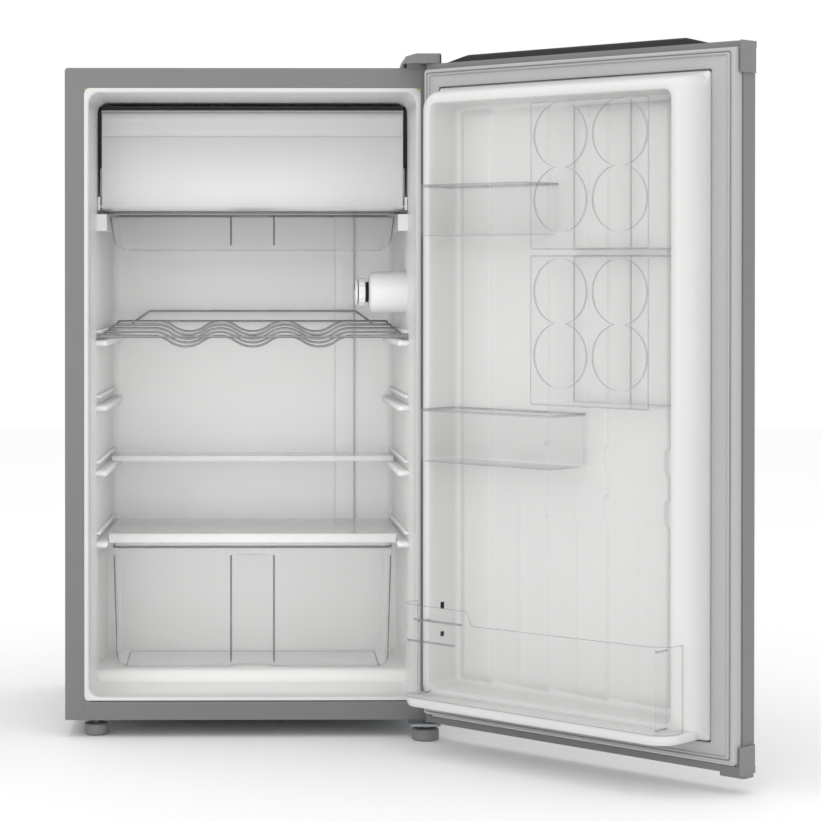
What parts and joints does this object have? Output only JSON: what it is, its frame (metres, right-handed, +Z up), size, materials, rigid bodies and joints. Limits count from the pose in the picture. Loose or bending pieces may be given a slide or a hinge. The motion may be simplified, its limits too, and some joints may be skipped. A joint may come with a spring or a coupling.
{
  "type": "compact refrigerator",
  "caption": "Compact upright refrigerator with one hinged door, freezer flap, chill tray, wire bottle rack, glass shelves, crisper drawer and lift-out door bins.",
  "frame": {"origin": "on the floor, midway between the cabinet's sides, under the cabinet's front plane", "axes": "+Z up, +Y from the front to the back of the cabinet, +X to the hinge side"},
  "size_m": [0.8024, 0.8039, 0.859],
  "materials": {
    "painted_steel": "satin",
    "galvanised_steel": "satin",
    "liner_plastic": "satin",
    "white_plastic": "satin",
    "clear_plastic": "gloss",
    "shelf_glass": "gloss",
    "chrome_wire": "polished",
    "seal_rubber": "matte",
    "grey_plastic": "matte",
    "dark_plastic": "satin",
    "black_rubber": "matte",
    "black_enamel": "gloss",
    "copper": "satin",
    "evaporator_aluminium": "satin",
    "insulation": "matte",
    "bright_screws": "satin"
  },
  "bodies": {
    "cabinet": {"cabinet_shell": "painted_steel", "front_bottom_rail": "painted_steel", "base_panel": "galvanised_steel", "back_panel": "galvanised_steel", "compressor_base": "galvanised_steel", "top_hinge_plate": "galvanised_steel", "bottom_hinge_bracket": "galvanised_steel", "top_hinge_pin": "bright_screws", "bottom_hinge_pin": "bright_screws", "top_hinge_screws": "bright_screws", "bottom_hinge_screws": "bright_screws", "back_panel_screws": "bright_screws", "compressor_bolts": "bright_screws", "foot_nuts": "bright_screws", "inner_liner": "liner_plastic", "evaporator_frame": "white_plastic", "evaporator_hangers": "white_plastic", "tray_rails": "white_plastic", "thermostat_housing": "white_plastic", "condenser_clips": "dark_plastic", "top_hinge_cover": "grey_plastic", "thermostat_switch": "dark_plastic", "relay_cover": "dark_plastic", "drain_pan": "dark_plastic", "compressor_grommets": "black_rubber", "cord_gland": "black_rubber", "compressor": "black_enamel", "condenser_tube": "black_enamel", "condenser_wires": "black_enamel", "filter_drier": "copper", "discharge_pipe": "copper", "evaporator_box": "evaporator_aluminium", "cabinet_foam": "insulation"},
    "door": {"door_outer_panel": "painted_steel", "door_foam": "insulation", "door_liner": "liner_plastic", "door_gasket": "seal_rubber", "door_top_cap": "grey_plastic", "door_bottom_cap": "grey_plastic", "door_handle": "dark_plastic", "upper_hinge_bush": "white_plastic", "lower_hinge_bush": "white_plastic"},
    "flap": {"freezer_flap": "white_plastic"},
    "tray": {"chill_tray": "clear_plastic"},
    "wire_rack": {"bottle_rack": "chrome_wire"},
    "shelf": {"rear_shelf": "shelf_glass", "rear_shelf_trim": "white_plastic"},
    "cover": {"crisper_cover": "shelf_glass", "crisper_cover_trim": "clear_plastic"},
    "drawer": {"crisper_drawer": "clear_plastic"},
    "knob": {"thermostat_knob": "white_plastic"},
    "bin_upper": {"upper_bin": "clear_plastic"},
    "bin_middle": {"middle_bin": "clear_plastic"},
    "cans_upper": {"can_rack_upper": "clear_plastic"},
    "cans_lower": {"can_rack_lower": "clear_plastic"},
    "guard": {"bottle_guard": "clear_plastic"},
    "foot_front_left": {"levelling_foot_front_left": "grey_plastic"},
    "foot_front_right": {"levelling_foot_front_right": "grey_plastic"},
    "foot_rear_left": {"levelling_foot_rear_left": "grey_plastic"},
    "foot_rear_right": {"levelling_foot_rear_right": "grey_plastic"}
  },
  "joints": [
    {"name": "door_swing", "type": "hinge", "parent": "cabinet", "child": "door", "pos_m": [0.228, -0.021, 0.43], "axis": [0, 0, 1], "range_deg": [-135.3, 0]},
    {"name": "flap_swing", "type": "hinge", "parent": "cabinet", "child": "flap", "pos_m": [0, 0.117, 0.672], "axis": [1, 0, 0], "range_deg": [0, 90]},
    {"name": "knob_turn", "type": "hinge", "parent": "cabinet", "child": "knob", "pos_m": [0.14, 0.15, 0.56], "axis": [-1, 0, 0], "range_deg": [0, 290]},
    {"name": "tray_slide", "type": "slide", "parent": "cabinet", "child": "tray", "axis": [0, -1, 0], "range_m": [0, 0.15]},
    {"name": "rack_slide", "type": "slide", "parent": "cabinet", "child": "wire_rack", "axis": [0, -1, 0], "range_m": [0, 0.15]},
    {"name": "shelf_slide", "type": "slide", "parent": "cabinet", "child": "shelf", "axis": [0, -1, 0], "range_m": [0, 0.2]},
    {"name": "cover_slide", "type": "slide", "parent": "cabinet", "child": "cover", "axis": [0, -1, 0], "range_m": [0, 0.15]},
    {"name": "drawer_slide", "type": "slide", "parent": "cabinet", "child": "drawer", "axis": [0, -1, 0], "range_m": [0, 0.15]},
    {"name": "upper_bin_lift", "type": "slide", "parent": "door", "child": "bin_upper", "axis": [0, 0, 1], "range_m": [0, 0.025]},
    {"name": "middle_bin_lift", "type": "slide", "parent": "door", "child": "bin_middle", "axis": [0, 0, 1], "range_m": [0, 0.01]},
    {"name": "cans_upper_lift", "type": "slide", "parent": "door", "child": "cans_upper", "axis": [0, 0, 1], "range_m": [0, 0.002]},
    {"name": "cans_lower_lift", "type": "slide", "parent": "door", "child": "cans_lower", "axis": [0, 0, 1], "range_m": [0, 0.005]},
    {"name": "guard_lift", "type": "slide", "parent": "door", "child": "guard", "axis": [0, 0, 1], "range_m": [0, 0.04]},
    {"name": "foot_front_left_turn", "type": "hinge", "parent": "cabinet", "child": "foot_front_left", "pos_m": [-0.198, 0.025, 0.01], "axis": [0, 0, 1], "continuous": true},
    {"name": "foot_front_right_turn", "type": "hinge", "parent": "cabinet", "child": "foot_front_right", "pos_m": [0.217, -0.016, 0.01], "axis": [0, 0, 1], "continuous": true},
    {"name": "foot_rear_left_turn", "type": "hinge", "parent": "cabinet", "child": "foot_rear_left", "pos_m": [-0.198, 0.375, 0.01], "axis": [0, 0, 1], "continuous": true},
    {"name": "foot_rear_right_turn", "type": "hinge", "parent": "cabinet", "child": "foot_rear_right", "pos_m": [0.198, 0.375, 0.01], "axis": [0, 0, 1], "continuous": true}
  ]
}
